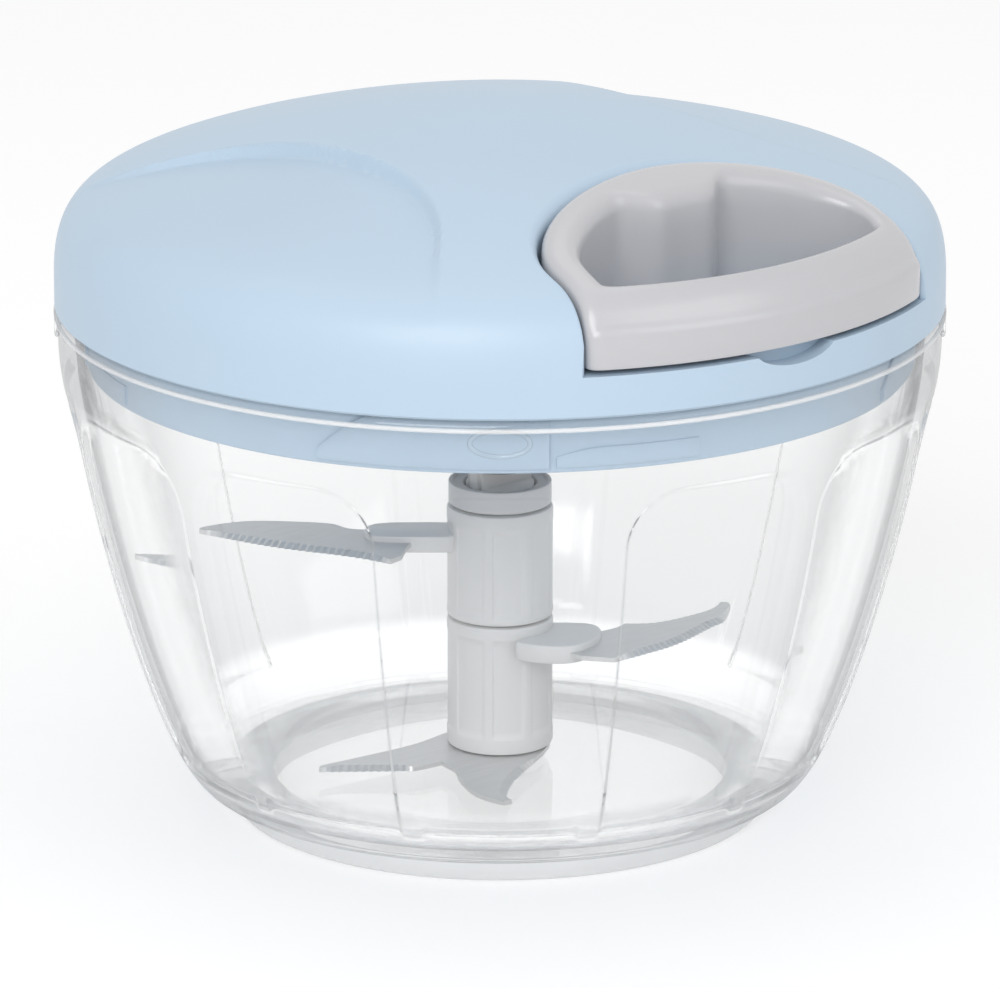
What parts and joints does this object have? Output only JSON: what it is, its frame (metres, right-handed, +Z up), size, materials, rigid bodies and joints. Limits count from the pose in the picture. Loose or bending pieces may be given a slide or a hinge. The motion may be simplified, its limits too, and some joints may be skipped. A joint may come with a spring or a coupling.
{
  "type": "pull string food chopper",
  "caption": "Hand food chopper with a fluted clear bowl, a domed lid, a pull handle on a cord reel with a ratchet, and serrated blades on a turning column.",
  "frame": {"origin": "centre of the foot's resting face, on the axis of the bowl and the blades", "axes": "+Z up; the handle is pulled towards -Y"},
  "size_m": [0.1302, 0.1302, 0.1055],
  "materials": {
    "bowl_clear": "clear moulded plastic, fluted",
    "foot_translucent_white": "translucent, matte",
    "lid_light_blue": "satin light blue",
    "handle_gray": "satin gray",
    "column_light_gray": "satin light gray",
    "cap_gray": "satin gray",
    "blade_steel": "matte steel",
    "pin_steel": "turned steel",
    "driver_dark": "dark moulded plastic",
    "reel_white": "white moulded plastic",
    "cord_white": "braided white cord",
    "seal_silicone": "soft translucent silicone",
    "pawl_black": "black moulded plastic"
  },
  "bodies": {
    "bowl": {"bowl": "bowl_clear", "foot_ring": "foot_translucent_white", "pivot_pin": "pin_steel"},
    "seal": {"seal_ring": "seal_silicone"},
    "lid": {"lid_cover": "lid_light_blue", "lid_base": "lid_light_blue", "lid_screw_1": "pin_steel", "lid_screw_2": "pin_steel", "lid_screw_3": "pin_steel", "lid_screw_4": "pin_steel", "spindle_bush": "reel_white", "reel_post": "pin_steel", "cord_eyelet": "pin_steel", "pull_cord_lead": "cord_white"},
    "handle": {"pull_handle": "handle_gray", "cord_stopper": "cord_white"},
    "reel": {"reel_drum": "reel_white", "reel_cover": "reel_white", "recoil_spring": "pin_steel", "pull_cord_winding": "cord_white"},
    "pawl_a": {"ratchet_pawl_a": "pawl_black"},
    "pawl_b": {"ratchet_pawl_b": "pawl_black"},
    "drive": {"drive_spindle": "driver_dark", "ratchet_cup": "reel_white", "drive_screw": "pin_steel"},
    "blades": {"holder_core": "column_light_gray", "holder_lower_sleeve": "column_light_gray", "holder_upper_sleeve": "column_light_gray", "holder_top_cap": "cap_gray", "upper_blade": "blade_steel", "middle_blade": "blade_steel", "lower_blade": "blade_steel"}
  },
  "joints": [
    {"name": "lid_lift", "type": "slide", "parent": "bowl", "child": "seal", "axis": [0, 0, 1], "range_m": [0, 0.12]},
    {"name": "lid_turn", "type": "hinge", "parent": "seal", "child": "lid", "pos_m": [0, 0, 0.076], "axis": [0, 0, 1], "range_deg": [-25, 0]},
    {"name": "handle_pull", "type": "slide", "parent": "lid", "child": "handle", "axis": [0, -1, 0], "range_m": [0, 0.36]},
    {"name": "reel_spin", "type": "hinge", "parent": "lid", "child": "reel", "pos_m": [0, 0, 0.0885], "axis": [0, 0, 1], "range_deg": [0, 1353]},
    {"name": "drive_spin", "type": "hinge", "parent": "lid", "child": "drive", "pos_m": [0, 0, 0.07], "axis": [0, 0, 1], "range_deg": [0, 1353]},
    {"name": "blade_spin", "type": "hinge", "parent": "bowl", "child": "blades", "pos_m": [0, 0, 0.02], "axis": [0, 0, 1], "range_deg": [0, 1353]},
    {"name": "pawl_a_swing", "type": "hinge", "parent": "reel", "child": "pawl_a", "pos_m": [0.0135, 0, 0.079], "axis": [0, 0, 1], "range_deg": [0, 10]},
    {"name": "pawl_b_swing", "type": "hinge", "parent": "reel", "child": "pawl_b", "pos_m": [-0.0135, 0, 0.079], "axis": [0, 0, 1], "range_deg": [0, 10]}
  ],
  "couplings": [
    {"joint": "reel_spin", "follows": "handle_pull", "rad_per_m": 65.359},
    {"joint": "drive_spin", "follows": "handle_pull", "rad_per_m": 65.359},
    {"joint": "blade_spin", "follows": "handle_pull", "rad_per_m": 65.359}
  ]
}
